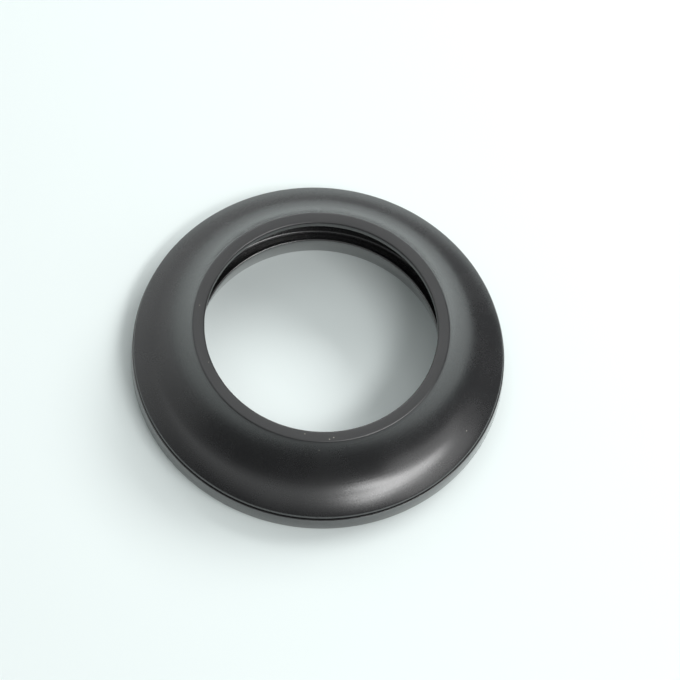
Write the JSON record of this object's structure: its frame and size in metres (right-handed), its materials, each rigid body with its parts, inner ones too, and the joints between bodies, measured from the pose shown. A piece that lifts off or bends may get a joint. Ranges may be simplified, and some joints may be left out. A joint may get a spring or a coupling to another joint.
{
  "type": "fork dust cover",
  "caption": "Round black rubber dust cover for a motorbike fork, with a wiping top lip, a sloping flank, a rim and a flat foot.",
  "frame": {"origin": "centre of the flat base, on the surface that the cover rests on", "axes": "+Z along the bore axis, from the base to the top lip; the ring is the same all round, so X and Y are free"},
  "size_m": [0.056, 0.056, 0.0116],
  "materials": {
    "rubber": "satin"
  },
  "bodies": {
    "root": {"dust_cover": "rubber"}
  },
  "joints": []
}
